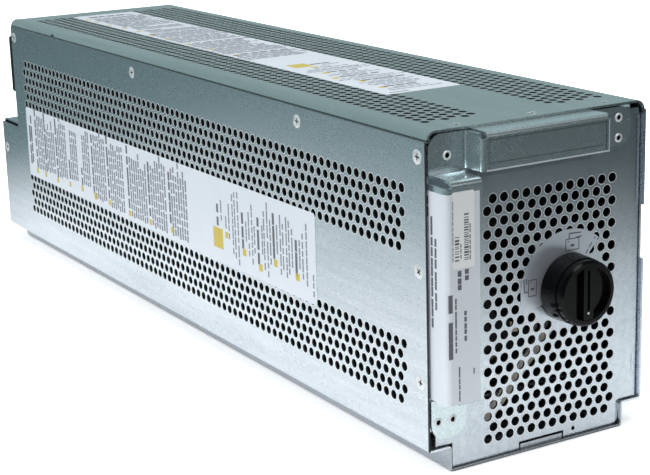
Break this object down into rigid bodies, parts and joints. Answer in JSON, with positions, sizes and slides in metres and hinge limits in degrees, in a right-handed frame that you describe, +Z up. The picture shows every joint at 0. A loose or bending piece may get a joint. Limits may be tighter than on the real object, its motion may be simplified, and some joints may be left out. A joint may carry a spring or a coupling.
{
  "type": "battery cartridge",
  "caption": "Long perforated zinc-plated steel battery cartridge with folded carrying handle, round rotary disconnect on the front, stepped rear and side running ledges.",
  "frame": {"origin": "on the ground under the middle of the front panel, in the plane of the panel's outer face", "axes": "+Z up, +X to the right seen from the front, +Y from the front towards the rear"},
  "size_m": [0.1426, 0.619, 0.1819],
  "materials": {
    "zinc_sheet": "electro-galvanised steel sheet, satin",
    "bright_steel": "bright zinc-plated steel",
    "black_plastic": "matte black moulding",
    "block_plastic": "dark grey battery case",
    "tinned_brass": "tin-plated brass",
    "fuse_ceramic": "plain ceramic tube",
    "grey_foam": "closed-cell foam",
    "liner_sheet": "black insulating sheet",
    "label_film": "printed label film, satin",
    "white_label": "white sticker",
    "dark_label": "printed film"
  },
  "bodies": {
    "cartridge": {"bar_sticker": "white_label", "base_tray": "zinc_sheet", "battery_block_left_1": "block_plastic", "battery_block_left_2": "block_plastic", "battery_block_left_3": "block_plastic", "battery_block_left_4": "block_plastic", "battery_block_left_5": "block_plastic", "battery_block_right_1": "block_plastic", "battery_block_right_2": "block_plastic", "battery_block_right_3": "block_plastic", "battery_block_right_4": "block_plastic", "battery_block_right_5": "block_plastic", "battery_shelf": "zinc_sheet", "battery_stop": "liner_sheet", "block_terminals": "tinned_brass", "bracket_rivets": "bright_steel", "connector_contacts": "tinned_brass", "cover_screws": "bright_steel", "foam_strips": "grey_foam", "front_panel": "zinc_sheet", "fuse_base": "black_plastic", "fuse_clips": "tinned_brass", "fuse_link": "fuse_ceramic", "handle_bracket": "zinc_sheet", "handle_label": "label_film", "inner_stay": "zinc_sheet", "knob_scale": "dark_label", "left_liner": "liner_sheet", "left_wall_screws": "bright_steel", "link_straps": "tinned_brass", "rear_connector": "black_plastic", "rear_panel": "zinc_sheet", "right_liner": "liner_sheet", "right_wall_screws": "bright_steel", "side_label": "label_film", "switch_body": "black_plastic", "switch_bush": "bright_steel", "switch_nut": "bright_steel", "switch_terminals": "tinned_brass", "tail_cover": "zinc_sheet", "top_cover": "zinc_sheet", "top_label": "label_film"},
    "knob": {"switch_knob": "black_plastic", "switch_shaft": "bright_steel"}
  },
  "joints": [
    {"name": "switch_turn", "type": "hinge", "parent": "cartridge", "child": "knob", "pos_m": [0.0208, 0, 0.0864], "axis": [0, -1, 0], "range_deg": [0, 90]}
  ]
}
